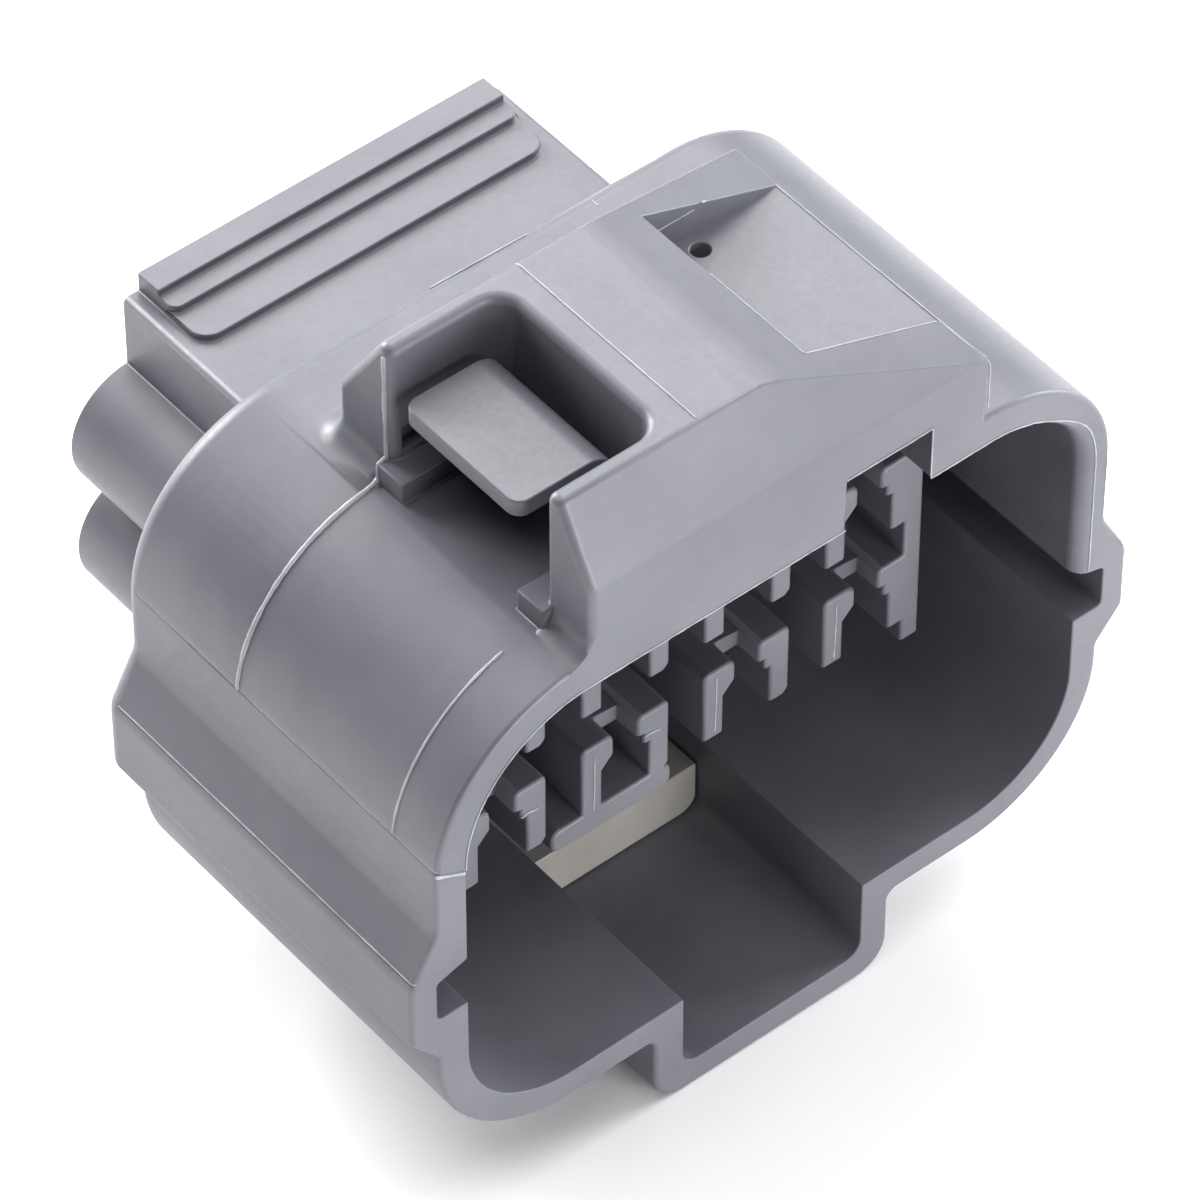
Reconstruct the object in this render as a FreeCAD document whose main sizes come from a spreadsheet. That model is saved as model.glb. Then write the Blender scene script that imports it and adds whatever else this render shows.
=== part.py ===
import FreeCAD, Part
import math
import os

import Sketcher

from FreeCAD import Vector

# Sealed automotive connector, male side: an empty moulded housing with eight
# terminal cavities in two rows, and the slide-in retainer in its keyway.
# X runs across the mouth, Y from the mouth to the wire side, Z up.
# Sketch heights start at the flat underside of the keyway.

DIMENSIONS = [
    ("pitch_across", 6.0, "between neighbouring cavities in a row"),
    ("pitch_rows", 5.6, "between the lower and the upper row"),
    ("row_height", 7.3, "socket floor to the lower row's axis"),
    ("overall_length", 27.9, "mouth to the ends of the seal tubes"),
    ("shroud_length", 18.8, "mouth to the back of the shroud"),
    ("wall", 1.4, "wall of the shroud and of the keyway"),
    ("socket_half_width", 14.95, "middle to the socket's side wall"),
    ("socket_height", 21.2, "socket floor to ceiling"),
    ("corner_left", 5.8, "inner radius, upper left corner of the socket"),
    ("corner_right", 4.8, "inner radius, upper right corner of the socket"),
    ("corner_bottom", 5.0, "inner radius, lower corners of the socket"),
    ("key_half_width", 4.5, "middle to the side of the keyway"),
    ("key_depth", 4.0, "socket floor down to the keyway floor"),
    ("key_corner", 0.8, "inner radius along the keyway floor"),
    ("groove_low", 7.9, "socket floor to the side groove"),
    ("groove_width", 2.5, "side groove, from its lower to its upper edge"),
    ("groove_depth", 1.45, "side groove, out from the socket wall"),
    ("bulge_proud", 1.25, "side bulge, out from the shroud wall"),
    ("bulge_low", 5.7, "socket floor to the foot of the bulge"),
    ("bulge_step", 1.5, "height of the bulge's lower shoulder"),
    ("bulge_flat", 3.2, "height of the bulge's flat side"),
    ("bulge_slope", 2.3, "height of the bulge's upper shoulder"),
    ("hood_left", 9.1, "middle to the hood's left side"),
    ("hood_right", 9.8, "middle to the hood's right side"),
    ("hood_length", 14.6, "hood along the shroud, at its foot"),
    ("hood_edge_round", 0.4, "rounding of the hood's left side"),
    ("hood_foot_round", 1.2, "hollow rounding between hood and shroud"),
    ("hood_height", 6.7, "top of the shroud to the hood's flat top"),
    ("front_chamfer_run", 1.8, "hood front, length of its slope"),
    ("front_chamfer_drop", 3.3, "hood front, height of its slope"),
    ("rear_chamfer_run", 2.5, "hood rear, length of its slope"),
    ("rear_chamfer_drop", 3.9, "hood rear, height of its slope"),
    ("slope_start", 0.5, "middle to where the right-hand slope begins"),
    ("slope_drop", 3.55, "fall of the right-hand slope"),
    ("slot_front", 2.55, "mouth to the clip slot"),
    ("slot_length", 8.85, "clip slot along the shroud"),
    ("slot_end", 3.9, "middle to the closed end of the clip slot"),
    ("slot_corner", 1.0, "radius of the clip slot's inner corners"),
    ("slot_round", 0.4, "rounding of the clip slot's upper edge"),
    ("rail_width", 1.1, "clip rail"),
    ("rail_height", 1.0, "clip rail"),
    ("rail_overhang", 0.45, "clip rail, out past the hood's side"),
    ("undercut_depth", 0.6, "clip undercut in each slot wall"),
    ("undercut_height", 1.2, "clip undercut"),
    ("undercut_inset", 0.5, "hood side to the clip undercut"),
    ("tongue_gap_front", 1.6, "slot wall to the locking tongue"),
    ("tongue_length", 6.6, "locking tongue along the shroud"),
    ("tongue_height", 4.65, "top of the shroud to the tongue's top"),
    ("tongue_thickness", 0.8, "locking tongue"),
    ("tongue_root", 0.6, "slot end to the tongue's upright"),
    ("tongue_bend", 1.3, "outer radius of the tongue's bend"),
    ("tongue_corner", 0.6, "corner radius of the tongue's free edge"),
    ("pocket_left", 3.1, "middle to the sink-relief pocket"),
    ("pocket_front", 2.65, "mouth to the sink-relief pocket"),
    ("pocket_length", 9.2, "sink-relief pocket along the hood"),
    ("pin_hole_radius", 0.4, "core pin hole in the pocket floor"),
    ("pin_hole_depth", 1.6, "core pin hole"),
    ("notch_left", 3.0, "middle to the ceiling notch"),
    ("notch_width", 4.15, "ceiling notch"),
    ("notch_height", 2.65, "ceiling notch, up from the ceiling"),
    ("notch_length", 13.0, "ceiling notch, back from the mouth"),
    ("guide_front", 5.3, "mouth to the front of the terminal guides"),
    ("guide_outer", 2.15, "cavity axis to a guide's outer side"),
    ("guide_inner", 1.15, "cavity axis to a guide's inner side"),
    ("guide_lip", 0.57, "cavity axis to the lip of a guide's head"),
    ("guide_drop", 1.0, "cavity axis down to a guide's foot"),
    ("guide_rise", 2.75, "cavity axis up to a guide's top"),
    ("guide_head", 1.1, "height of a guide's head"),
    ("guide_step", 0.6, "height of the slope under a guide's head"),
    ("web_setback", 1.3, "guide front to the web between two heads"),
    ("end_rib_thickness", 0.9, "upright rib at each end of the rows"),
    ("end_rib_foot", 2.2, "lower row's axis to the end rib's foot"),
    ("shelf_thickness", 1.2, "shelf under the lower guides"),
    ("shelf_left", 6.65, "middle to the shelf's left end"),
    ("shelf_right", 0.75, "middle to the shelf's right end"),
    ("shelf_corner", 0.45, "radius of the shelf's ends"),
    ("block_half_width", 9.2, "middle to the side of the wire-side block"),
    ("block_height", 19.4, "socket floor to the block's top"),
    ("strip_half_width", 8.45, "middle to the end of the raised strip"),
    ("strip_length", 1.3, "raised strip along the block"),
    ("strip_height", 0.9, "raised strip above the block's top"),
    ("bar_length", 0.95, "upper ledge along the block"),
    ("bar_height", 0.6, "upper ledge above the block's top"),
    ("ledge_length", 1.8, "lower ledge along the block"),
    ("ledge_height", 0.3, "lower ledge above the block's top"),
    ("tube_radius", 3.05, "outside of a seal tube"),
    ("bore_radius", 2.4, "bore for a wire seal"),
    ("bore_depth", 7.0, "bore for a wire seal"),
    ("rear_round", 0.9, "rounding of the shroud's rear edge"),
    ("small_round", 0.3, "rounding of small outer corners"),
    ("retainer_front", 9.9, "mouth to the retainer's front"),
    ("retainer_height", 2.6, "keyway floor to the retainer's top"),
    ("retainer_wall", 1.1, "retainer's front and side walls"),
    ("retainer_floor", 0.8, "retainer's floor"),
    ("retainer_clearance", 0.08, "retainer to the keyway, all round"),
    ("retainer_rear_gap", 0.3, "retainer to the back of the socket"),
]

COLUMNS = 4
ROWS = 2

doc = FreeCAD.newDocument("SealedConnector")
sheet = doc.addObject("Spreadsheet::Sheet", "Dims")
for row, (alias, amount, note) in enumerate(DIMENSIONS, start=1):
    sheet.set("A%d" % row, alias)
    sheet.set("B%d" % row, str(amount))
    sheet.set("C%d" % row, note)
    sheet.setAlias("B%d" % row, alias)
doc.recompute()

ALIASES = sorted((alias for alias, _, _ in DIMENSIONS), key=len, reverse=True)


def bound(text):
    # Spell each dimension's name in a formula as a cell of the sheet.
    words = []
    for word in text.replace("(", " ( ").replace(")", " ) ").split():
        words.append("Dims." + word if word in ALIASES else word)
    return " ".join(words)


def size(text):
    # The present value of a formula in millimetres.
    return float(sheet.evalExpression(bound(text)))


def origin_plane(body, role):
    for feature in body.Origin.OriginFeatures:
        if feature.Role == role:
            return feature
    raise ValueError(role)


# How a height above each origin plane is written: the XZ plane's normal
# points to the mouth, so depths along +Y are negative offsets.
PLANE_SIGN = {"XZ_Plane": "-1", "XY_Plane": "1", "YZ_Plane": "1"}


def start_sketch(body, name, role, offset):
    sketch = body.newObject("Sketcher::SketchObject", name)
    sketch.AttachmentSupport = [(origin_plane(body, role), "")]
    sketch.MapMode = "FlatFace"
    sketch.setExpression(
        "AttachmentOffset.Base.z", bound(PLANE_SIGN[role] + " * ( " + offset + " )")
    )
    return sketch


def unit(start, end):
    step = end - start
    return step.multiply(1.0 / step.Length)


def pin(constraints, formulas, geometry, point, across, up):
    # Tie one sketch point to its two formulas, measured from the sketch's origin.
    for kind, formula, axis in (("DistanceX", across, -2), ("DistanceY", up, -1)):
        amount = size(formula)
        if formula == "0":
            constraints.append(Sketcher.Constraint("PointOnObject", geometry, point, axis))
            formulas.append(None)
        else:
            constraints.append(
                Sketcher.Constraint(kind, -1, 1, geometry, point, amount)
            )
            formulas.append(formula)


def draw_outline(sketch, corners):
    # A closed outline through corners (across, up) or (across, up, radius):
    # straight sides, with a tangent arc wherever a corner has a radius.
    spots = [Vector(size(corner[0]), size(corner[1]), 0) for corner in corners]
    radii = [size(corner[2]) if len(corner) > 2 else 0.0 for corner in corners]
    count = len(corners)
    arrive, leave, turns = [], [], []
    for index in range(count):
        into = unit(spots[index - 1], spots[index])
        out = unit(spots[index], spots[(index + 1) % count])
        turn = math.atan2(into.x * out.y - into.y * out.x, into.dot(out))
        reach = radii[index] * math.tan(abs(turn) / 2)
        arrive.append(spots[index] - into * reach)
        leave.append(spots[index] + out * reach)
        turns.append(turn)
    constraints, formulas = [], []
    lines, arcs = [], {}
    for index in range(count):
        side = Part.LineSegment(leave[index], arrive[(index + 1) % count])
        lines.append(sketch.addGeometry(side, False))
    for index in range(count):
        if not radii[index]:
            constraints.append(
                Sketcher.Constraint("Coincident", lines[index - 1], 2, lines[index], 1)
            )
            formulas.append(None)
            pin(constraints, formulas, lines[index], 1, corners[index][0], corners[index][1])
            continue
        left_turn = turns[index] > 0
        into = unit(spots[index - 1], spots[index])
        inward = Vector(-into.y, into.x, 0) * (1 if left_turn else -1)
        centre = arrive[index] + inward * radii[index]
        first, last = arrive[index], leave[index]
        if not left_turn:
            first, last = last, first
        angles = [math.atan2(spot.y - centre.y, spot.x - centre.x) for spot in (first, last)]
        if angles[1] < angles[0]:
            angles[1] += 2 * math.pi
        circle = Part.Circle(centre, Vector(0, 0, 1), radii[index])
        arc = sketch.addGeometry(Part.ArcOfCircle(circle, angles[0], angles[1]), False)
        arcs[index] = arc
        corner = sketch.addGeometry(Part.Point(spots[index]), True)
        near, far = (1, 2) if left_turn else (2, 1)
        constraints.append(Sketcher.Constraint("Tangent", lines[index - 1], 2, arc, near))
        constraints.append(Sketcher.Constraint("Tangent", lines[index], 1, arc, far))
        constraints.append(Sketcher.Constraint("PointOnObject", corner, 1, lines[index - 1]))
        constraints.append(Sketcher.Constraint("PointOnObject", corner, 1, lines[index]))
        formulas += [None, None, None, None]
        constraints.append(Sketcher.Constraint("Radius", arc, radii[index]))
        formulas.append(corners[index][2])
        pin(constraints, formulas, corner, 1, corners[index][0], corners[index][1])
    for place, formula in zip(sketch.addConstraint(constraints), formulas):
        if formula:
            sketch.setExpression("Constraints[%d]" % place, bound(formula))


def draw_circle(sketch, across, up, radius):
    circle = Part.Circle(Vector(size(across), size(up), 0), Vector(0, 0, 1), size(radius))
    ring = sketch.addGeometry(circle, False)
    constraints = [Sketcher.Constraint("Radius", ring, size(radius))]
    formulas = [radius]
    pin(constraints, formulas, ring, 3, across, up)
    for place, formula in zip(sketch.addConstraint(constraints), formulas):
        if formula:
            sketch.setExpression("Constraints[%d]" % place, bound(formula))


def rectangle(left, low, right, high, radius=None):
    corners = [(left, low), (right, low), (right, high), (left, high)]
    return [corner + (radius,) for corner in corners] if radius else corners


def grow(body, kind, name, role, offset, outlines, length, flip, circles=()):
    # Pad or pocket the outlines, drawn on a plane at an offset, by a length.
    sketch = start_sketch(body, name + "_sketch", role, offset)
    for corners in outlines:
        draw_outline(sketch, corners)
    for circle in circles:
        draw_circle(sketch, *circle)
    feature = body.newObject("PartDesign::" + kind, name)
    feature.Profile = sketch
    feature.setExpression("Length", bound(length))
    feature.Reversed = flip
    before = body.Shape.Volume if not body.Shape.isNull() else 0.0
    doc.recompute()
    change = body.Shape.Volume - before
    wrong = change <= 0 if kind == "Pad" else change >= 0
    if wrong:
        raise ValueError("%s changed the volume by %.3f" % (name, change))
    return feature


def pad_back(body, name, start, outlines, length, circles=()):
    # Grow outlines in the XZ plane from a depth towards the wire side.
    return grow(body, "Pad", name, "XZ_Plane", start, outlines, length, True, circles)


def cut_back(body, name, start, outlines, length, circles=()):
    return grow(body, "Pocket", name, "XZ_Plane", start, outlines, length, False, circles)


def pad_up(body, name, start, outlines, length, circles=()):
    return grow(body, "Pad", name, "XY_Plane", start, outlines, length, False, circles)


def cut_up(body, name, start, outlines, length, circles=()):
    return grow(body, "Pocket", name, "XY_Plane", start, outlines, length, True, circles)


def cut_down(body, name, start, outlines, length, circles=()):
    return grow(body, "Pocket", name, "XY_Plane", start, outlines, length, False, circles)


def round_edges(body, name, radius, chosen):
    # Round every edge of the body whose own bounding box the test picks.
    base = body.Tip
    names = []
    for index, edge in enumerate(base.Shape.Edges, start=1):
        if chosen(edge.BoundBox):
            names.append("Edge%d" % index)
    fillet = body.newObject("PartDesign::Fillet", name)
    fillet.Base = (base, names)
    fillet.setExpression("Radius", bound(radius))
    doc.recompute()
    return fillet


def lies(box, low, high):
    # True when an edge's box lies inside the box between two corners.
    slack = 0.02
    return (
        box.XMin > low[0] - slack
        and box.YMin > low[1] - slack
        and box.ZMin > low[2] - slack
        and box.XMax < high[0] + slack
        and box.YMax < high[1] + slack
        and box.ZMax < high[2] + slack
    )


def lies_across(box, place):
    # True when an edge lies wholly at one place across the mouth.
    return abs(box.XMin - place) < 0.01 and abs(box.XMax - place) < 0.01


def start_body(label):
    body = doc.addObject("PartDesign::Body", label)
    body.Label = label
    body.setExpression("Placement.Base.y", "-Dims.overall_length / 2")
    return body


# Levels above the keyway's underside
FLOOR = "key_depth + wall"
CEILING = FLOOR + " + socket_height"
SHROUD_TOP = CEILING + " + wall"
HOOD_TOP = SHROUD_TOP + " + hood_height"
SLOPE_FOOT = HOOD_TOP + " - slope_drop"
LOW_ROW = FLOOR + " + row_height"
BLOCK_TOP = FLOOR + " + block_height"
OUTER_HALF = "socket_half_width + wall"
KEY_OUTER = "key_half_width + wall"
BULGE_HALF = "socket_half_width + wall + bulge_proud"
SOCKET_DEPTH = "shroud_length - wall"


def mirrored(corners):
    # The same corners on the left-hand side, in the order that closes a loop.
    return [("-1 * ( " + corner[0] + " )",) + corner[1:] for corner in reversed(corners)]


def shroud_outline():
    # Keyway, lower corner, side bulge and upper corner, outside.
    foot = FLOOR + " + bulge_low"
    flat = foot + " + bulge_step"
    shoulder = flat + " + bulge_flat"
    side = [
        (KEY_OUTER, "0", "key_corner + wall / 2"),
        (KEY_OUTER, "key_depth", "wall / 3"),
        (OUTER_HALF, "key_depth", "corner_bottom + wall"),
        (OUTER_HALF, foot, "bulge_proud / 3"),
        (BULGE_HALF, flat, "bulge_proud / 3"),
        (BULGE_HALF, shoulder, "bulge_proud"),
        (OUTER_HALF, shoulder + " + bulge_slope", "bulge_proud"),
    ]
    top = [
        (OUTER_HALF, SHROUD_TOP, "corner_right + wall"),
        ("-1 * ( " + OUTER_HALF + " )", SHROUD_TOP, "corner_left + wall"),
    ]
    return side + top + mirrored(side)


def socket_outline():
    low = FLOOR + " + groove_low"
    high = low + " + groove_width"
    deep = "socket_half_width + groove_depth"
    side = [
        ("key_half_width", "wall", "key_corner"),
        ("key_half_width", FLOOR),
        ("socket_half_width", FLOOR, "corner_bottom"),
        ("socket_half_width", low),
        (deep, low, "wall / 6"),
        (deep, high + " - groove_width / 6", "wall / 6"),
        ("socket_half_width", high),
    ]
    top = [
        ("socket_half_width", CEILING, "corner_right"),
        ("-1 * socket_half_width", CEILING, "corner_left"),
    ]
    return side + top + mirrored(side)


def column_axis(column):
    return "( %.1f * pitch_across )" % (column - (COLUMNS - 1) / 2)


def row_axis(row):
    return "( " + LOW_ROW + " + %d * pitch_rows )" % row


def left_guide(column, row):
    # The guide on the left of a cavity: a stem with a rounded head to the right.
    axis = column_axis(column)
    level = row_axis(row)
    top = level + " + guide_rise"
    neck = top + " - guide_head - guide_step"
    return [
        (axis + " - guide_outer", level + " - guide_drop"),
        (axis + " - guide_inner", level + " - guide_drop"),
        (axis + " - guide_inner", neck),
        (axis + " - guide_lip", neck + " + guide_step"),
        (axis + " - guide_lip", top, "guide_step * 0.7"),
        (axis + " - guide_outer", top, "guide_step / 2"),
    ]


def right_guide(column, row):
    # The guide on the right: a stem with a square head to the left.
    axis = column_axis(column)
    level = row_axis(row)
    top = level + " + guide_rise"
    head = top + " - guide_head"
    return [
        (axis + " + guide_inner", level + " - guide_drop"),
        (axis + " + guide_outer - guide_step / 2", level + " - guide_drop"),
        (axis + " + guide_outer", level + " - guide_drop + guide_step / 2"),
        (axis + " + guide_outer", top, "guide_step / 2"),
        (axis + " + guide_lip", top, "guide_step / 2"),
        (axis + " + guide_lip", head),
        (axis + " + ( guide_lip + guide_inner ) / 2", head),
        (axis + " + ( guide_lip + guide_inner ) / 2", head + " - guide_step"),
        (axis + " + guide_inner", head + " - guide_step"),
    ]


CELLS = [(column, row) for column in range(COLUMNS) for row in range(ROWS)]


def build_shroud(body):
    pad_back(body, "Shroud", "0", [shroud_outline()], "shroud_length")
    round_rear = size("shroud_length")
    round_edges(
        body,
        "ShroudRearEdge",
        "rear_round",
        lambda box: abs(box.YMin - round_rear) < 0.01,
    )
    cut_back(body, "Socket", "0", [socket_outline()], SOCKET_DEPTH)


def build_hood(body):
    # Side profile of the hood, across its whole width, sunk into the top wall.
    left = "-1 * hood_left"
    foot = SHROUD_TOP + " - wall / 2"
    profile = [
        ("0", foot),
        ("hood_length", foot),
        ("hood_length", HOOD_TOP + " - rear_chamfer_drop", "rear_round"),
        ("hood_length - rear_chamfer_run", HOOD_TOP, "rear_round / 2"),
        ("front_chamfer_run", HOOD_TOP, "small_round"),
        ("0", HOOD_TOP + " - front_chamfer_drop", "rear_round"),
    ]
    grow(
        body, "Pad", "Hood", "YZ_Plane", left, [profile], "hood_left + hood_right", False
    )
    # The right-hand slope, from the flat top down to the hood's right side
    over = "hood_right + wall"
    slope = [
        ("slope_start", HOOD_TOP, "hood_height"),
        (over, HOOD_TOP + " - slope_drop * ( " + over + " - slope_start )"
               " / ( hood_right - slope_start )"),
        (over, HOOD_TOP + " + wall"),
        ("slope_start - hood_height", HOOD_TOP + " + wall"),
        ("slope_start - hood_height", HOOD_TOP),
    ]
    cut_back(body, "HoodSlope", "-1 * wall", [slope], "hood_length + 2 * wall")
    # The left side is rounded all round, and hollowed out along its foot
    side = -size("hood_left")
    shroud_top = size(SHROUD_TOP)
    half_length = size("hood_length") / 2
    round_edges(
        body,
        "HoodLeftEdges",
        "hood_edge_round",
        lambda box: lies_across(box, side) and box.ZMax > shroud_top + 0.05,
    )
    round_edges(
        body,
        "HoodFoot",
        "hood_foot_round",
        lambda box: lies_across(box, side)
        and abs(box.ZMax - shroud_top) < 0.01
        and box.YLength > half_length,
    )


def build_clip_slot(body):
    left = "-1 * ( hood_left + wall )"
    end = "-1 * slot_end"
    rear = "slot_front + slot_length"
    slot = [
        (left, "slot_front"),
        (end, "slot_front", "slot_corner"),
        (end, rear, "slot_corner"),
        (left, rear),
    ]
    cut_up(body, "ClipSlot", SHROUD_TOP, [slot], "hood_height + wall")
    crest = size(HOOD_TOP)
    slot_low = (-size("hood_left"), size("slot_front"), crest)
    slot_high = (-size("slot_end"), size(rear), crest)
    round_edges(
        body, "SlotUpperEdge", "slot_round", lambda box: lies(box, slot_low, slot_high)
    )
    start = "-1 * ( hood_left - undercut_inset )"
    stop = "-1 * ( slot_end + slot_corner )"
    undercuts = rectangle(
        start, "slot_front - undercut_depth", stop, rear + " + undercut_depth"
    )
    cut_up(
        body, "ClipUndercut", SHROUD_TOP + " + rail_height + rail_height / 3",
        [undercuts], "undercut_height",
    )
    outer = "-1 * ( hood_left + rail_overhang )"
    inner = "-1 * ( slot_end + slot_corner )"
    rails = [
        rectangle(outer, "slot_front - wall / 4", inner, "slot_front + rail_width"),
        rectangle(outer, rear + " - rail_width", inner, rear + " + wall / 4"),
    ]
    pad_up(body, "ClipRails", SHROUD_TOP + " - wall / 4", rails, "rail_height + wall / 4")
    # The locking tongue: an upright at the slot's end, bent over to the left
    top = SHROUD_TOP + " + tongue_height"
    under = top + " - tongue_thickness"
    right = "-1 * ( slot_end + tongue_root )"
    inside = "-1 * ( slot_end + tongue_root + tongue_thickness )"
    tip = "-1 * hood_left"
    tongue = [
        (inside, SHROUD_TOP + " - wall / 4"),
        (right, SHROUD_TOP + " - wall / 4"),
        (right, top, "tongue_bend"),
        (tip, top),
        (tip, under),
        (inside, under, "tongue_bend - tongue_thickness"),
    ]
    front = "slot_front + tongue_gap_front"
    pad_back(body, "LockingTongue", front, [tongue], "tongue_length")
    tongue_top = size(top)
    tongue_under = size(under)
    tongue_tip = size(tip)
    round_edges(
        body,
        "TongueCorners",
        "tongue_corner",
        lambda box: lies(
            box,
            (tongue_tip, size(front), tongue_under),
            (tongue_tip, size(front + " + tongue_length"), tongue_top),
        )
        and box.YLength < 0.01,
    )


def build_hood_pocket(body):
    floor = SLOPE_FOOT
    rear = "pocket_front + pocket_length"
    pocket = rectangle("pocket_left", "pocket_front", "hood_right + wall", rear)
    cut_up(body, "ReliefPocket", floor, [pocket], "slope_drop + wall")
    hole = ("pocket_left + 2.2", rear + " - 0.75", "pin_hole_radius")
    cut_down(body, "CorePinHole", floor, [], "pin_hole_depth", [hole])
    notch = rectangle(
        "notch_left", CEILING + " - wall / 4",
        "notch_left + notch_width", CEILING + " + notch_height",
    )
    cut_back(body, "CeilingNotch", "-1 * wall", [notch], "notch_length + wall")


def build_guides(body):
    # The first column's guides and webs in both rows, repeated along the rows
    reach = SOCKET_DEPTH + " + wall / 2 - guide_front"
    guides = []
    webs = []
    for row in range(ROWS):
        guides.append(left_guide(0, row))
        guides.append(right_guide(0, row))
        axis = column_axis(0)
        top = row_axis(row) + " + guide_rise"
        webs.append(
            rectangle(
                axis + " - guide_inner", top + " - guide_head",
                axis + " + guide_inner", top + " - guide_step / 3",
            )
        )
    guide_pad = pad_back(body, "Guides", "guide_front", guides, reach)
    web_pad = pad_back(
        body, "GuideWebs", "guide_front + web_setback", webs, reach + " - web_setback"
    )
    columns = body.newObject("PartDesign::LinearPattern", "GuideColumns")
    columns.Originals = [guide_pad, web_pad]
    columns.Direction = (guide_pad.Profile[0], ["H_Axis"])
    columns.Occurrences = COLUMNS
    columns.setExpression("Length", bound("%d * pitch_across" % (COLUMNS - 1)))
    body.Tip = columns
    doc.recompute()
    last = column_axis(COLUMNS - 1)
    foot = LOW_ROW + " - end_rib_foot"
    inner = last + " + guide_outer - guide_step / 2"
    right_rib = rectangle(inner, foot, inner + " + end_rib_thickness", CEILING + " + wall / 4")
    ribs = [right_rib, mirrored(right_rib)]
    pad_back(body, "EndRibs", "guide_front", ribs, reach)
    shelf_top = LOW_ROW + " - guide_drop + wall / 10"
    shelf = rectangle(
        "-1 * shelf_left", shelf_top + " - shelf_thickness",
        "-1 * shelf_right", shelf_top, "shelf_corner",
    )
    pad_back(body, "Shelf", "guide_front", [shelf], reach)


def build_wire_side(body):
    start = "shroud_length - wall / 2"
    reach = "overall_length - shroud_length + wall / 2"
    block = [
        ("-1 * block_half_width", row_axis(ROWS - 1)),
        ("block_half_width", row_axis(ROWS - 1)),
        ("block_half_width", BLOCK_TOP, "small_round"),
        ("-1 * block_half_width", BLOCK_TOP, "small_round"),
    ]
    pad_back(body, "WireBlock", start, [block], reach)
    half = "%.1f * pitch_across" % ((COLUMNS - 1) / 2)
    core = rectangle("-1 * " + half, row_axis(0), half, row_axis(ROWS - 1) + " + wall")
    pad_back(body, "TubeCore", start, [core], reach)
    tubes = [(column_axis(column), row_axis(row), "tube_radius") for column, row in CELLS]
    for start_column in range(2):
        # Neighbouring tubes overlap, so every other one is drawn at a time
        alternate = [tube for tube, cell in zip(tubes, CELLS) if cell[0] % 2 == start_column]
        pad_back(body, "SealTubes%d" % (start_column + 1), start, [], reach, alternate)
    # Steps on top of the block: the rear strip and two ledges before it
    strip_front = "overall_length - strip_length"
    bar_front = strip_front + " - bar_length"
    ledge_front = bar_front + " - ledge_length"
    half = "strip_half_width"
    sunk = BLOCK_TOP + " - wall / 2"
    ledge = [
        ("-1 * " + half, ledge_front, "ledge_length / 2"),
        (half, ledge_front, "ledge_length / 2"),
        (half, "overall_length - strip_length / 2"),
        ("-1 * " + half, "overall_length - strip_length / 2"),
    ]
    pad_up(body, "LowerLedge", sunk, [ledge], "ledge_height + wall / 2")
    bar = [
        ("-1 * " + half, bar_front, "bar_length / 2"),
        (half, bar_front, "bar_length / 2"),
        (half, "overall_length - strip_length / 2"),
        ("-1 * " + half, "overall_length - strip_length / 2"),
    ]
    pad_up(body, "UpperLedge", sunk, [bar], "bar_height + wall / 2")
    strip = rectangle("-1 * " + half, strip_front, half, "overall_length")
    pad_up(body, "RearStrip", sunk, [strip], "strip_height + wall / 2")
    # A bore for a wire seal behind each cavity, and the cavity through the wall
    bores = [(column_axis(column), row_axis(row), "bore_radius") for column, row in CELLS]
    cut_back(
        body, "SealBores", "overall_length - bore_depth", [], "bore_depth + wall", bores
    )
    cavities = []
    for column, row in CELLS:
        axis = column_axis(column)
        level = row_axis(row)
        cavities.append(
            rectangle(
                axis + " - guide_inner", level + " - guide_drop",
                axis + " + guide_inner", level + " + guide_rise - guide_head",
            )
        )
    through = "overall_length - bore_depth - ( " + SOCKET_DEPTH + " ) + 2 * wall"
    cut_back(body, "Cavities", SOCKET_DEPTH + " - wall", cavities, through)


def build_housing():
    body = start_body("housing")
    build_shroud(body)
    build_hood(body)
    build_clip_slot(body)
    build_hood_pocket(body)
    build_guides(body)
    build_wire_side(body)
    return body


def build_retainer():
    # A tray that fills the keyway's far end: front wall, two side walls, floor.
    body = start_body("terminal_retainer")
    half = "( key_half_width - retainer_clearance )"
    low = "( wall + retainer_clearance )"
    top = "( wall + retainer_height )"
    outside = [
        ("-1 * " + half, low, "key_corner"),
        (half, low, "key_corner"),
        (half, top),
        ("-1 * " + half, top),
    ]
    length = SOCKET_DEPTH + " - retainer_front - retainer_rear_gap"
    pad_back(body, "Tray", "retainer_front", [outside], length)
    inside = rectangle(
        "-1 * " + half + " + retainer_wall", "retainer_front + retainer_wall",
        half + " - retainer_wall", "shroud_length",
    )
    cut_down(body, "TrayHollow", top, [inside], top + " - " + low + " - retainer_floor")
    return body


housing = build_housing()
retainer = build_retainer()
doc.recompute()

for item in doc.Objects:
    if "Invalid" in item.State or "Error" in item.State:
        raise ValueError("%s is %s" % (item.Name, item.State))

os.makedirs("parts", exist_ok=True)
for body in (housing, retainer):
    shape = body.Shape
    if shape.isNull() or not shape.isValid() or len(shape.Solids) != 1:
        raise ValueError("%s has no single valid solid" % body.Label)
    shape.exportStep("parts/%s.step" % body.Label)
    box = shape.BoundBox
    print(body.Label, "volume %.1f mm3" % shape.Volume)
    print("  x %.2f to %.2f" % (box.XMin, box.XMax))
    print("  y %.2f to %.2f" % (box.YMin, box.YMax))
    print("  z %.2f to %.2f" % (box.ZMin, box.ZMax))
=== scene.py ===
import math

import bmesh
import bpy
from mathutils import Matrix, Vector


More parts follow.
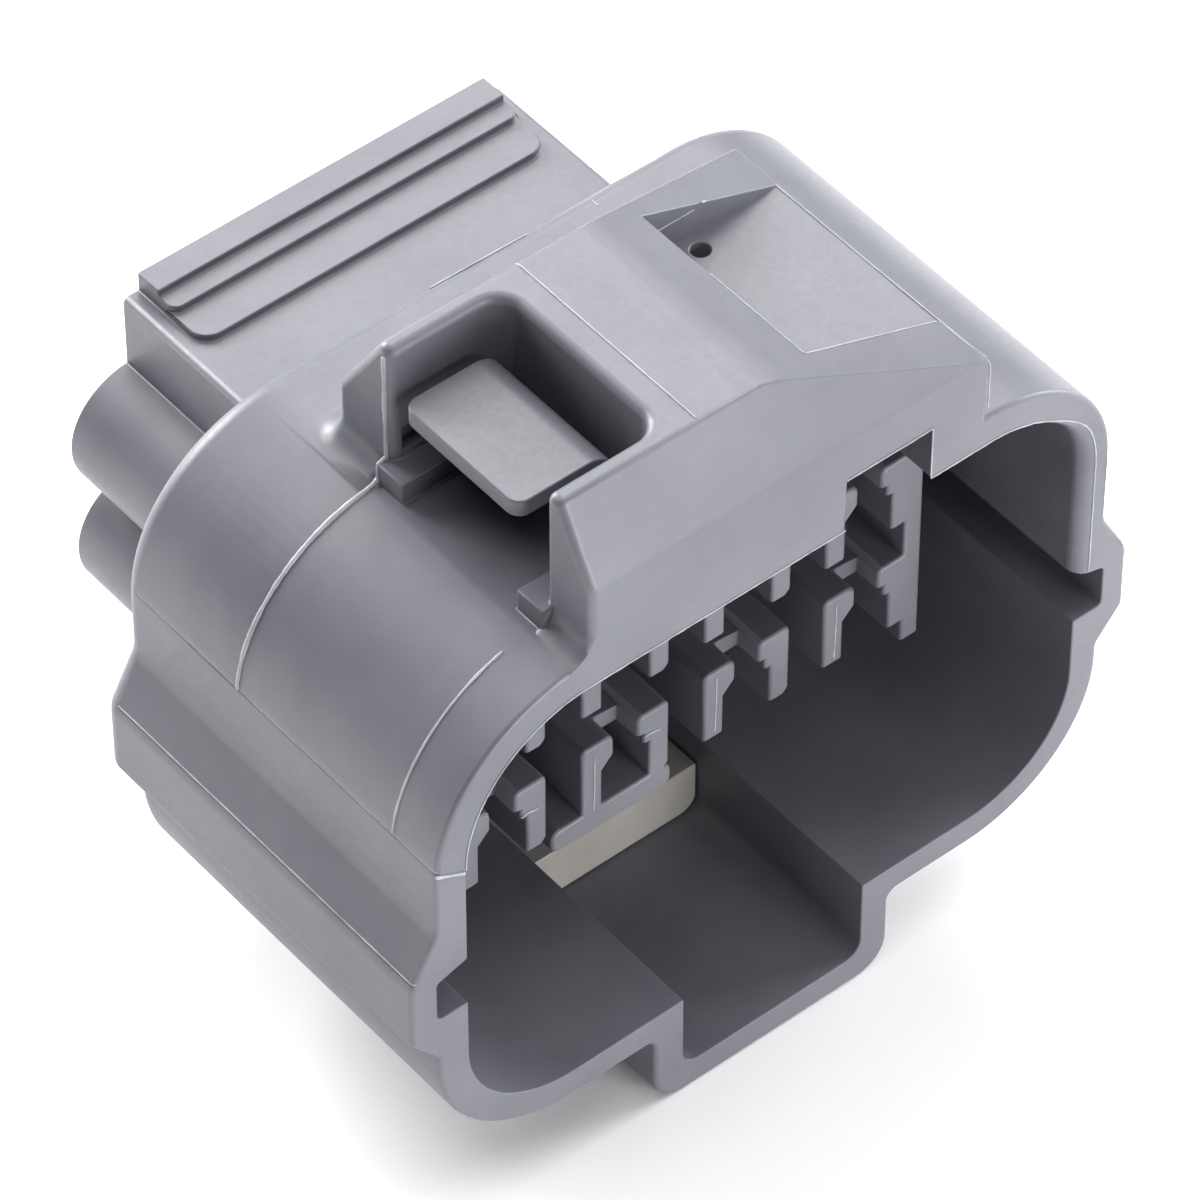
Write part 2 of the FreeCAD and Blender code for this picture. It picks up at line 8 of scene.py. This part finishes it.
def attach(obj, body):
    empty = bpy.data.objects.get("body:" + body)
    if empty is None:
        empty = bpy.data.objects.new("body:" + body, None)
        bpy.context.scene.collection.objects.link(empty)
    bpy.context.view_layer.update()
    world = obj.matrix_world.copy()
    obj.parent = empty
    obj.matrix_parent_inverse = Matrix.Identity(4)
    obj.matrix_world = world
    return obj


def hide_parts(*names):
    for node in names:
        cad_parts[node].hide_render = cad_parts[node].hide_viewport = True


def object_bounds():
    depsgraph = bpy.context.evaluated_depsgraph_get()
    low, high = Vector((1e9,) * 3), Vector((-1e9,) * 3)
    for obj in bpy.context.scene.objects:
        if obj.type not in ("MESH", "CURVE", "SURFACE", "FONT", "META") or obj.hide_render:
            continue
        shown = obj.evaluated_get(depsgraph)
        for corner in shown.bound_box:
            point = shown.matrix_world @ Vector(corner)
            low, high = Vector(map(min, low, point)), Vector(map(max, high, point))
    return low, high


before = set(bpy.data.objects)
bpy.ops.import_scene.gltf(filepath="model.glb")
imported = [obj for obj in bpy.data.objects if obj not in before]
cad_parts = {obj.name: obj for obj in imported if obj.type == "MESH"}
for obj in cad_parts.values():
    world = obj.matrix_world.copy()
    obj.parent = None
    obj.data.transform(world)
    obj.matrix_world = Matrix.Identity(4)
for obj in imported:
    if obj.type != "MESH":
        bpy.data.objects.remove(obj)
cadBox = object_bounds()

# The model is in metres, and every place below is written in millimetres:
# X across the mouth, Y from the mouth to the wire side, Z up from the floor.
mm = 0.001


# colours
def srgbHex(code):
    # A web colour as the linear values that shaders use
    values = [int(code[start:start + 2], 16) / 255 for start in (1, 3, 5)]
    linear = [v / 12.92 if v <= 0.04045 else ((v + 0.055) / 1.055) ** 2.4 for v in values]
    return (*linear, 1.0)


def addNode(tree, kind, settings=None, inputs=None):
    # One node with its settings, and with values or links on its inputs
    node = tree.nodes.new(kind)
    for name, value in (settings or {}).items():
        setattr(node, name, value)
    for name, value in (inputs or {}).items():
        if isinstance(value, bpy.types.NodeSocket):
            tree.links.new(value, node.inputs[name])
        else:
            node.inputs[name].default_value = value
    return node


def newMaterial(name):
    material = bpy.data.materials.new(name)
    material.use_nodes = True
    material.node_tree.nodes.clear()
    return material


plasticNoise = {
    "cloudDetail": 4.0, "cloudRoughness": 0.6, "cloudFrom": 0.35, "cloudTo": 0.65,
    "grainDetail": 3.0, "grainRoughness": 0.7, "grainFrom": 0.3, "grainTo": 0.7,
    "sheenSpread": 0.05,
}


def mouldedPlastic(name, look):
    # Injection-moulded plastic: broad clouds between a dark and a light tone, where it
    # flowed, and a fine spark-eroded grain in the sheen and in the relief
    noise = plasticNoise
    material = newMaterial(name)
    tree = material.node_tree
    place = addNode(tree, "ShaderNodeTexCoord").outputs["Object"]
    toMm = addNode(tree, "ShaderNodeMapping", {"vector_type": "POINT"},
                   {"Vector": place, "Scale": (1 / mm, 1 / mm, 1 / mm)}).outputs["Vector"]
    clouds = addNode(tree, "ShaderNodeTexNoise", None, {
        "Vector": toMm, "Scale": 1 / look["cloudMm"],
        "Detail": noise["cloudDetail"], "Roughness": noise["cloudRoughness"]})
    grain = addNode(tree, "ShaderNodeTexNoise", None, {
        "Vector": toMm, "Scale": 1 / look["grainMm"],
        "Detail": noise["grainDetail"], "Roughness": noise["grainRoughness"]})
    tone = addNode(tree, "ShaderNodeMix", {"data_type": "RGBA", "blend_type": "MIX"})
    spread = addNode(tree, "ShaderNodeMapRange", None, {
        "Value": clouds.outputs["Fac"],
        "From Min": noise["cloudFrom"], "From Max": noise["cloudTo"], "To Min": 0.0, "To Max": 1.0})
    tree.links.new(spread.outputs["Result"], tone.inputs["Factor"])
    tone.inputs["A"].default_value = srgbHex(look["dark"])
    tone.inputs["B"].default_value = srgbHex(look["light"])
    sheen = addNode(tree, "ShaderNodeMapRange", None, {
        "Value": grain.outputs["Fac"], "From Min": noise["grainFrom"], "From Max": noise["grainTo"],
        "To Min": look["roughness"] - noise["sheenSpread"],
        "To Max": look["roughness"] + noise["sheenSpread"]})
    bump = addNode(tree, "ShaderNodeBump", None, {
        "Height": grain.outputs["Fac"], "Strength": look["grainStrength"],
        "Distance": look["grainDepthMm"] * mm})
    surface = addNode(tree, "ShaderNodeBsdfPrincipled", None, {
        "Base Color": tone.outputs["Result"], "Roughness": sheen.outputs["Result"],
        "Normal": bump.outputs["Normal"], "IOR": look["ior"], "Metallic": 0.0})
    addNode(tree, "ShaderNodeOutputMaterial", None, {"Surface": surface.outputs["BSDF"]})
    return material


housingLook = {
    "dark": "#5a5b63", "light": "#64656c",
    "cloudMm": 6.0, "grainMm": 0.22, "grainStrength": 0.35, "grainDepthMm": 0.012,
    "roughness": 0.45, "ior": 1.56,
}
retainerLook = {
    "dark": "#8a8783", "light": "#97948f",
    "cloudMm": 5.0, "grainMm": 0.3, "grainStrength": 0.15, "grainDepthMm": 0.01,
    "roughness": 0.4, "ior": 1.5,
}
# The seams' plastic is paler than the wall: partly real flash, partly a painted highlight along
# fine ridges and edges
seamLook = {
    "dark": "#8f9096", "light": "#a9aab0",
    "cloudMm": 1.5, "grainMm": 0.2, "grainStrength": 0.2, "grainDepthMm": 0.01,
    "roughness": 0.45, "ior": 1.5,
}
housingPlastic = mouldedPlastic("mouldedPbtGrey", housingLook)
retainerPlastic = mouldedPlastic("mouldedPbtNatural", retainerLook)
seamPlastic = mouldedPlastic("paleSeamPbtPaintedHighlight", seamLook)
print("materials made")


# the moulded pieces
# The solids' faces come as loose triangles, so each piece is a joined copy with its
# flat faces whole again, its edges rounded as a mould rounds them, and its shading smooth
def joinedCopy(nodeName, look):
    work = bmesh.new()
    work.from_mesh(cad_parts[nodeName].data)
    bmesh.ops.remove_doubles(work, verts=work.verts, dist=look["mergeMm"] * mm)
    bmesh.ops.dissolve_limit(
        work, verts=work.verts, edges=work.edges, delimit={"NORMAL"},
        angle_limit=math.radians(look["flatDegrees"]))
    return work


def middleOf(edge):
    return (edge.verts[0].co + edge.verts[1].co) / 2


def isTight(edge, look, widthMm):
    # A rounding would fold along a narrow face, and where several of the solid's meet
    middle = middleOf(edge) / mm
    for low, high in look["tightCorners"]:
        if all(low[side] < middle[side] < high[side] for side in range(3)):
            return True
    for face in edge.link_faces:
        longest = max(side.calc_length() for side in face.edges)
        narrow = face.calc_area() / longest < look["narrowTimes"] * widthMm * mm
        if narrow and edge.calc_length() > look["alongShare"] * longest:
            return True
    return False


def sharpEdges(work, look, widthMm):
    limit = math.radians(look["sharpDegrees"])
    return [
        edge for edge in work.edges
        if len(edge.link_faces) == 2 and edge.calc_face_angle() > limit
        and not isTight(edge, look, widthMm)]


def roundEdges(work, edges, widthMm, steps):
    return bmesh.ops.bevel(
        work, geom=edges, affect="EDGES", offset=widthMm * mm, offset_type="OFFSET",
        segments=steps, profile=0.5, clamp_overlap=False, loop_slide=True,
        miter_outer="SHARP", miter_inner="SHARP")


def roundFine(work, look, widthMm, wanted=None):
    # Round the sharp edges that a width fits, or those of them that are wanted
    edges = [edge for edge in sharpEdges(work, look, widthMm) if wanted is None or wanted(edge)]
    roundEdges(work, edges, widthMm, look["fineSteps"])
    return edges


def evaluatedPiece(piece, pieceName):
    # The piece with what its modifiers make as its own mesh
    made = piece.evaluated_get(bpy.context.evaluated_depsgraph_get())
    shape = bpy.data.meshes.new_from_object(made)
    shape.name = pieceName
    piece.modifiers.clear()
    piece.data = shape
    return piece


def finishedPiece(work, pieceName, material, look):
    mesh = bpy.data.meshes.new(pieceName)
    work.to_mesh(mesh)
    work.free()
    mesh.materials.append(material)
    for polygon in mesh.polygons:
        polygon.use_smooth = True
    mesh.set_sharp_from_angle(angle=math.radians(look["smoothDegrees"]))
    piece = bpy.data.objects.new(pieceName, mesh)
    bpy.context.scene.collection.objects.link(piece)
    weighted = piece.modifiers.new("flatFacesStayFlat", "WEIGHTED_NORMAL")
    weighted.mode = "FACE_AREA"
    weighted.weight = look["flatWeight"]
    weighted.keep_sharp = True
    return evaluatedPiece(piece, pieceName)


housingShape = {
    "mergeMm": 0.002, "flatDegrees": 0.5, "sharpDegrees": 40, "smoothDegrees": 42, "flatWeight": 50,
    "mouthRoundMm": 0.22, "mouthSteps": 3,
    "guideRoundMm": 0.16, "edgeRoundMm": 0.07, "fineSteps": 2,
    "narrowTimes": 1.5, "alongShare": 0.6,
    "guideFrontMm": -8.65, "planeMm": 0.01, "middleUpMm": 16.5, "uprightWall": 0.7,
    "tightCorners": (
        ((9.1, -14.0, 30.8), (10.3, -13.1, 31.5)),
        ((-10.2, -14.0, 27.8), (-8.3, -13.5, 28.9)),
        ((-9.8, -11.9, 27.9), (-9.2, -11.3, 28.6)),
        ((-9.8, 0.7, 27.8), (-8.6, 1.5, 28.6)),
    ),
    "holdingLine": {
        "axis": 0, "at": 9.25, "low": (8.5, -14.0, 28.5), "high": (10.0, 1.0, 34.8)},
}


def inDepthPlane(edge, depth):
    near = housingShape["planeMm"] * mm
    return all(abs(corner.co.y - depth) <= near for corner in edge.verts)


def mouthSide(edge):
    # For an edge at the mouth: above 0 on the outer side, where the wall faces away from
    # the middle, below 0 on the inner side, and 0 for any other edge
    if not inDepthPlane(edge, cadBox[0][1]):
        return 0.0
    shape = housingShape
    middle = middleOf(edge)
    outward = Vector((middle.x, 0, middle.z - shape["middleUpMm"] * mm))
    walls = [face for face in edge.link_faces if abs(face.normal.y) < shape["uprightWall"]]
    return walls[0].normal.dot(outward) if walls else 0.0


def atLip(edge, lowMm):
    # On the mouth's inner edge, above a height
    low = min(corner.co.z for corner in edge.verts)
    return len(edge.link_faces) == 2 and low >= lowMm * mm and mouthSide(edge) < 0


# On the right the mouth's inner edge opens in a lead-in, which grows from nothing along
# the upper arc, whose centre is named here. It starts as a hair-thin rounding, whose
# points are then spread away from the sharp corner they came from.
leadInShape = {
    "startMm": 0.04, "fullMm": 0.65, "steps": 3,
    "fromXMm": 12.0, "lowMm": 15.7, "nothingAtMm": 26.1, "fullAtMm": 23.4,
    "arcMm": (10.15, 0, 21.8),
}


def leadInWidth(place):
    # Its width in millimetres at a point of the mouth's inner edge
    shape = leadInShape
    if place.x < shape["fromXMm"] * mm or place.z < shape["lowMm"] * mm:
        return 0.0
    share = (shape["nothingAtMm"] - place.z / mm) / (shape["nothingAtMm"] - shape["fullAtMm"])
    share = max(0.0, min(1.0, share))
    eased = share * share * (3 - 2 * share)
    return shape["startMm"] + (shape["fullMm"] - shape["startMm"]) * eased


def leadInEdge(place):
    # Where a point of the mouth's inner edge comes to lie on the front face
    arc = Vector(leadInShape["arcMm"]) * mm
    away = Vector((place.x - arc.x, 0, max(place.z - arc.z, 0))).normalized()
    return place + away * leadInWidth(place) * mm


def cutLeadIn(work):
    shape = leadInShape
    edges = [
        edge for edge in work.edges
        if atLip(edge, shape["lowMm"]) and all(leadInWidth(corner.co) > 0 for corner in edge.verts)]
    corners = [corner.co.copy() for edge in edges for corner in edge.verts]
    made = roundEdges(work, edges, shape["startMm"], shape["steps"])
    for point in made["verts"]:
        corner = min(corners, key=lambda place: (place - point.co).length)
        point.co = corner + (point.co - corner) * leadInWidth(corner) / shape["startMm"]
    print("lead-in:", len(edges), "edges,", len(made["verts"]), "points")


# mould seams
# Where two halves of the mould met, the plastic keeps a fine raised line, slightly ragged, and
# beside the long ones a hairline groove. The beads are a little paler than the wall: partly real
# flash, and partly a painted highlight where light catches the fine ridges and edges. Each seam is
# the line where a flat plane, at one place along an axis, cuts the skin inside the box between low
# and high. Each line, such as a burr or the lit edge of a pocket, is its bead's radius and the
# points it runs through. All in millimetres.
seamShape = {
    "stepMm": 0.1, "ragged": 1.2, "leastShare": 0.3, "wanderMm": 0.5, "wanderDetail": 2.0,
    "seed": 11, "ringCorners": 6,
    "groovePitchMm": 0.05, "middleUpMm": 17.0, "touchMm": 0.0001, "edgeOnMm": 0.001,
    "seams": (
        {"axis": 1, "at": -2.2, "low": (-16.5, -2.3, 21.5), "high": (-8.9, -2.1, 34.0),
         "beadMm": 0.11, "grooveMm": 0.06},
        {"axis": 1, "at": -11.4, "low": (-16.5, -11.5, 21.5), "high": (-10.9, -11.3, 28.3),
         "beadMm": 0.06, "grooveMm": 0.0},
        {"axis": 2, "at": 21.5, "low": (-16.5, -13.9, 21.4), "high": (-16.0, 3.9, 21.6),
         "beadMm": 0.06, "grooveMm": 0.06},
        {"axis": 2, "at": 16.05, "low": (-17.7, -13.9, 15.9), "high": (-17.0, 3.9, 16.2),
         "beadMm": 0.06, "grooveMm": 0.05},
        {"axis": 2, "at": 21.5, "low": (16.0, -13.9, 21.4), "high": (16.5, 3.9, 21.6),
         "beadMm": 0.06, "grooveMm": 0.06},
        {"axis": 2, "at": 16.05, "low": (17.0, -13.9, 15.9), "high": (17.7, 3.9, 16.2),
         "beadMm": 0.06, "grooveMm": 0.05},
        {"axis": 0, "at": -2.62, "low": (-2.7, -11.9, 33.0), "high": (-2.5, -0.2, 34.8),
         "beadMm": 0.05, "grooveMm": 0.0},
    ),
    "lipBeadMm": 0.04, "lipLowMm": 20.8,
    "lines": (
        # The rim's burr, the hood's right edge, the relief pocket's edges and rear wall, as pale
        # beads that partly paint the highlight along these edges
        (0.07, ((-16.35, -13.97, 21.4), (-15.75, -13.98, 21.08), (-15.05, -13.97, 20.7))),
        (0.035, ((9.64, 0.05, 31.17), (9.66, -6.5, 31.16), (9.69, -12.9, 31.18),
                 (9.83, -13.7, 31.1), (9.88, -13.93, 30.8), (9.88, -13.94, 30.0),
                 (9.86, -13.95, 28.6))),
        (0.028, ((3.12, -6.0, 33.69), (3.12, -9.0, 33.69), (3.12, -11.28, 33.69),
                 (6.3, -11.29, 32.48), (9.55, -11.29, 31.22))),
        (0.025, ((3.6, -2.11, 32.45), (5.6, -2.11, 32.45))),
        (0.06, ((5.95, -2.11, 32.62), (6.15, -2.11, 32.55))),
        # The shroud's rear rounding
        (0.045, ((-1.65, 4.61, 27.75), (0.2, 4.5, 27.85), (2.87, 4.42, 27.88))),
        (0.05, ((7.0, 4.54, 27.78), (9.2, 4.47, 27.8), (11.45, 4.41, 27.73))),
        (0.04, ((5.91, 4.23, 27.95), (5.88, 3.77, 28.0))),
        # The guides' fronts
        (0.035, ((-4.57, -8.66, 14.9), (-4.58, -8.66, 13.3), (-4.63, -8.66, 11.9))),
        (0.035, ((1.44, -8.66, 15.1), (1.42, -8.66, 13.4), (1.37, -8.66, 12.1))),
        (0.035, ((7.43, -8.66, 15.0), (7.42, -8.66, 13.4), (7.37, -8.66, 12.1))),
        (0.04, ((-8.1, -8.64, 13.94), (-7.8, -8.67, 14.08), (-7.5, -8.67, 13.99),
                (-7.3, -8.66, 13.96))),
        (0.04, ((-2.1, -8.64, 14.24), (-1.9, -8.67, 14.3), (-1.6, -8.67, 14.25),
                (-1.38, -8.66, 14.2))),
    ),
}


def cutPlane(work, seam, shiftMm):
    # Cut the skin's outer faces inside the seam's box, and give the cut's edges
    low = Vector(seam["low"]) * mm
    high = Vector(seam["high"]) * mm
    place = Vector((0, 0, 0))
    place[seam["axis"]] = (seam["at"] + shiftMm) * mm
    normal = Vector((0, 0, 0))
    normal[seam["axis"]] = 1
    edgeOn = seamShape["edgeOnMm"] * mm

    def onSkin(face):
        # On the outside or seen edge-on from the middle, and reaching into the box
        middle = face.calc_center_median()
        outward = Vector((middle.x, 0, middle.z - seamShape["middleUpMm"] * mm))
        if face.normal.dot(outward) < -edgeOn:
            return False
        corners = [corner.co for corner in face.verts]
        return all(
            min(corner[side] for corner in corners) < high[side]
            and max(corner[side] for corner in corners) > low[side] for side in range(3))

    def inBox(edge):
        middle = middleOf(edge)
        return all(low[side] - edgeOn <= middle[side] <= high[side] + edgeOn for side in range(3))

    # Dictionaries keep the order of what they hold, so every run cuts alike
    faces = [face for face in work.faces if onSkin(face)]
    edges = list(dict.fromkeys(edge for face in faces for edge in face.edges))
    corners = list(dict.fromkeys(corner for face in faces for corner in face.verts))
    cut = bmesh.ops.bisect_plane(
        work, geom=corners + edges + faces, dist=seamShape["touchMm"] * mm,
        plane_co=place, plane_no=normal)
    return [
        edge for edge in cut["geom_cut"]
        if isinstance(edge, bmesh.types.BMEdge) and inBox(edge)]


def cutGroove(work, seam):
    # Two cuts close beside a third, whose points sink below the skin. On a seam across
    # the shroud the groove lies behind the bead, and elsewhere under it.
    pitch = seamShape["groovePitchMm"]
    centre = pitch * 2 if seam["axis"] == 1 else 0.0
    for shift in (centre - pitch, centre + pitch):
        cutPlane(work, seam, shift)
    middle = cutPlane(work, seam, centre)
    work.normal_update()
    corners = dict.fromkeys(corner for edge in middle for corner in edge.verts)
    sunk = [(corner, corner.co - corner.normal * seam["grooveMm"] * mm) for corner in corners]
    for corner, place in sunk:
        corner.co = place


def makeBeadTree():
    # A line of edges becomes a thin bead whose width wanders along its length
    tree = bpy.data.node_groups.new("seamBead", "GeometryNodeTree")
    for name, kind in (
            ("Line", "NodeSocketGeometry"), ("Step", "NodeSocketFloat"),
            ("Ragged", "NodeSocketFloat"), ("Seed", "NodeSocketFloat"),
            ("Plastic", "NodeSocketMaterial")):
        tree.interface.new_socket(name, in_out="INPUT", socket_type=kind)
    tree.interface.new_socket("Bead", in_out="OUTPUT", socket_type="NodeSocketGeometry")
    given = addNode(tree, "NodeGroupInput").outputs
    width = addNode(tree, "GeometryNodeInputNamedAttribute", {"data_type": "FLOAT"},
                    {"Name": "beadWidth"})
    line = addNode(tree, "GeometryNodeMeshToCurve", None, {"Mesh": given["Line"]})
    even = addNode(tree, "GeometryNodeResampleCurve", {"mode": "LENGTH"},
                   {"Curve": line.outputs["Curve"], "Length": given["Step"]})
    wander = addNode(tree, "ShaderNodeTexNoise", {"noise_dimensions": "4D"}, {
        "W": given["Seed"], "Scale": 1 / (seamShape["wanderMm"] * mm),
        "Detail": seamShape["wanderDetail"]})
    swing = addNode(tree, "ShaderNodeMath", {"operation": "MULTIPLY_ADD"})
    tree.links.new(wander.outputs["Fac"], swing.inputs[0])
    tree.links.new(given["Ragged"], swing.inputs[1])
    swing.inputs[2].default_value = seamShape["leastShare"]
    scale = addNode(tree, "ShaderNodeMath", {"operation": "MULTIPLY"})
    tree.links.new(swing.outputs["Value"], scale.inputs[0])
    tree.links.new(width.outputs["Attribute"], scale.inputs[1])
    ring = addNode(tree, "GeometryNodeCurvePrimitiveCircle", {"mode": "RADIUS"},
                   {"Resolution": seamShape["ringCorners"], "Radius": 1.0})
    bead = addNode(tree, "GeometryNodeCurveToMesh", None, {
        "Curve": even.outputs["Curve"], "Profile Curve": ring.outputs["Curve"],
        "Scale": scale.outputs["Value"], "Fill Caps": True})
    plain = addNode(tree, "GeometryNodeRealizeInstances", None,
                    {"Geometry": bead.outputs["Mesh"]})
    painted = addNode(tree, "GeometryNodeSetMaterial", None,
                      {"Geometry": plain.outputs["Geometry"], "Material": given["Plastic"]})
    addNode(tree, "NodeGroupOutput", None, {"Bead": painted.outputs["Geometry"]})
    return tree


def gatherEdges(marks, edges, beadMm, placeOf):
    # Add edges to the marks, each of their points once, with the width of its bead
    numbers = {}
    for edge in edges:
        for corner in edge.verts:
            if corner not in numbers:
                numbers[corner] = len(marks["points"])
                marks["points"].append(placeOf(corner.co))
                marks["widths"].append(beadMm * mm)
        marks["pairs"].append(tuple(numbers[corner] for corner in edge.verts))


def flashLow(edge):
    # How far down the flash on the mouth's inner edge runs, lower where the lead-in is
    onRight = edge.verts[0].co.x > leadInShape["fromXMm"] * mm
    return leadInShape["lowMm"] if onRight else seamShape["lipLowMm"]


def gatherMarks(skin):
    # The flash along the mouth's inner edge, then the seams on the skin, then the lines
    marks = {"points": [], "pairs": [], "widths": []}
    work = joinedCopy("housing", housingShape)
    lip = [edge for edge in work.edges if atLip(edge, flashLow(edge))]
    gatherEdges(marks, lip, seamShape["lipBeadMm"], leadInEdge)
    work.free()
    for seam in seamShape["seams"]:
        work = bmesh.new()
        work.from_mesh(skin.data)
        gatherEdges(marks, cutPlane(work, seam, 0.0), seam["beadMm"], Vector.copy)
        work.free()
    for beadMm, places in seamShape["lines"]:
        first = len(marks["points"])
        marks["pairs"] += [(first + step, first + step + 1) for step in range(len(places) - 1)]
        marks["points"] += [Vector(place) * mm for place in places]
        marks["widths"] += [beadMm * mm] * len(places)
    return marks


def makeSeamBeads(skin):
    # One mesh of lines, each point with its bead's width, turned into beads at once
    marks = gatherMarks(skin)
    mesh = bpy.data.meshes.new("mouldSeams")
    mesh.from_pydata(marks["points"], marks["pairs"], [])
    widths = mesh.attributes.new("beadWidth", "FLOAT", "POINT")
    widths.data.foreach_set("value", marks["widths"])
    piece = bpy.data.objects.new("mouldSeams", mesh)
    bpy.context.scene.collection.objects.link(piece)
    tree = makeBeadTree()
    beads = piece.modifiers.new("seamBead", "NODES")
    beads.node_group = tree
    chosen = {
        "Step": seamShape["stepMm"] * mm, "Ragged": seamShape["ragged"],
        "Seed": float(seamShape["seed"]), "Plastic": seamPlastic}
    for socket in tree.interface.items_tree:
        if socket.in_out == "INPUT" and socket.name in chosen:
            beads[socket.identifier] = chosen[socket.name]
    evaluatedPiece(piece, "mouldSeams")
    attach(piece, "housing")
    print("mould seams:", len(marks["points"]), "points,", len(piece.data.polygons), "faces")


def makeHousing():
    shape = housingShape
    work = joinedCopy("housing", shape)
    width = shape["mouthRoundMm"]
    rim = [edge for edge in sharpEdges(work, shape, width) if mouthSide(edge) > 0]
    roundEdges(work, rim, width, shape["mouthSteps"])
    cutLeadIn(work)
    fronts = roundFine(
        work, shape, shape["guideRoundMm"],
        lambda edge: inDepthPlane(edge, shape["guideFrontMm"] * mm))
    roundFine(work, shape, shape["edgeRoundMm"])
    # A plain cut by the hood's right side keeps the shading of its long, narrow faces true
    cutPlane(work, shape["holdingLine"], 0.0)
    for seam in seamShape["seams"]:
        if seam["grooveMm"]:
            cutGroove(work, seam)
    piece = finishedPiece(work, "housingMoulding", housingPlastic, shape)
    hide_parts("housing")
    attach(piece, "housing")
    print("housing rounded:", len(rim), "rim edges,", len(fronts), "guide edges,",
          len(piece.data.polygons), "faces")
    return piece


retainerShape = {
    "mergeMm": 0.002, "flatDegrees": 0.5, "sharpDegrees": 40, "smoothDegrees": 42, "flatWeight": 50,
    "edgeRoundMm": 0.08, "fineSteps": 2, "narrowTimes": 1.5, "alongShare": 0.6, "tightCorners": (),
}


def makeRetainer():
    shape = retainerShape
    work = joinedCopy("terminal_retainer", shape)
    roundFine(work, shape, shape["edgeRoundMm"])
    piece = finishedPiece(work, "terminalRetainer", retainerPlastic, shape)
    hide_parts("terminal_retainer")
    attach(piece, "retainer")
    print("retainer rounded:", len(piece.data.polygons), "faces")


housing = makeHousing()
makeSeamBeads(housing)
makeRetainer()


# stand, light and camera
floorLook = {"sizeMm": 1500.0, "colour": "#f4f4f5", "roughness": 0.8}


def makeFloor():
    half = floorLook["sizeMm"] / 2 * mm
    mesh = bpy.data.meshes.new("studioFloor")
    corners = [(-half, -half, 0), (half, -half, 0), (half, half, 0), (-half, half, 0)]
    mesh.from_pydata(corners, [], [(0, 1, 2, 3)])
    floor = bpy.data.objects.new("studioFloor", mesh)
    bpy.context.scene.collection.objects.link(floor)
    material = newMaterial("paleBackdropPaper")
    tree = material.node_tree
    surface = addNode(tree, "ShaderNodeBsdfPrincipled", None, {
        "Base Color": srgbHex(floorLook["colour"]), "Roughness": floorLook["roughness"]})
    addNode(tree, "ShaderNodeOutputMaterial", None, {"Surface": surface.outputs["BSDF"]})
    mesh.materials.append(material)
    return floor


makeFloor()

# Each light: name, place in mm, size in mm, power in watts
lightSettings = {
    "skyStrength": 0.01,
    "lamps": (
        ("overheadSoftbox", (0, 0, 450), 500, 1.7),
        ("rearRightSoftbox", (220, 260, 330), 320, 1.8),
        ("rearSoftbox", (-60, 440, 200), 300, 4.6),
        ("rightCard", (430, -60, 160), 280, 2.3),
        ("frontCard", (60, -430, 90), 300, 1.8),
        ("lowFrontCard", (0, -430, 15), 200, 0.9),
    ),
    "aimMm": (0, 0, 14),
}


def makeLights():
    world = bpy.data.worlds.new("softStudio")
    world.use_nodes = True
    sky = world.node_tree.nodes["Background"]
    sky.inputs["Color"].default_value = (1, 1, 1, 1)
    sky.inputs["Strength"].default_value = lightSettings["skyStrength"]
    bpy.context.scene.world = world
    aim = Vector(lightSettings["aimMm"]) * mm
    for name, place, width, power in lightSettings["lamps"]:
        lamp = bpy.data.lights.new(name, "AREA")
        lamp.shape = "DISK"
        lamp.size = width * mm
        lamp.energy = power
        holder = bpy.data.objects.new(name, lamp)
        holder.location = Vector(place) * mm
        holder.rotation_euler = (aim - holder.location).to_track_quat("-Z", "Y").to_euler()
        bpy.context.scene.collection.objects.link(holder)


makeLights()

# The photograph's own view: a long lens from the left of the mouth, looking down
cameraSettings = {
    "placeMm": (-130.774, -162.178, 239.950),
    "azimuth": -39.4813, "elevation": 47.4259,
    "lensMm": 238.975, "sensorMm": 36.0, "nearestMm": 10.0,
}


def makeCamera():
    turn = math.radians(cameraSettings["azimuth"])
    lift = math.radians(cameraSettings["elevation"])
    level = math.cos(lift)
    back = Vector((math.sin(turn) * level, -math.cos(turn) * level, math.sin(lift)))
    right = Vector((math.cos(turn), math.sin(turn), 0))
    up = back.cross(right)
    data = bpy.data.cameras.new("camera")
    data.lens = cameraSettings["lensMm"]
    data.sensor_width = cameraSettings["sensorMm"]
    data.clip_start = cameraSettings["nearestMm"] * mm
    holder = bpy.data.objects.new("camera", data)
    turned = Matrix((right, up, back)).transposed().to_4x4()
    holder.matrix_world = Matrix.Translation(Vector(cameraSettings["placeMm"]) * mm) @ turned
    bpy.context.scene.collection.objects.link(holder)
    bpy.context.scene.camera = holder


makeCamera()
bpy.context.scene.view_settings.view_transform = "Standard"
print("floor, lights and camera set")
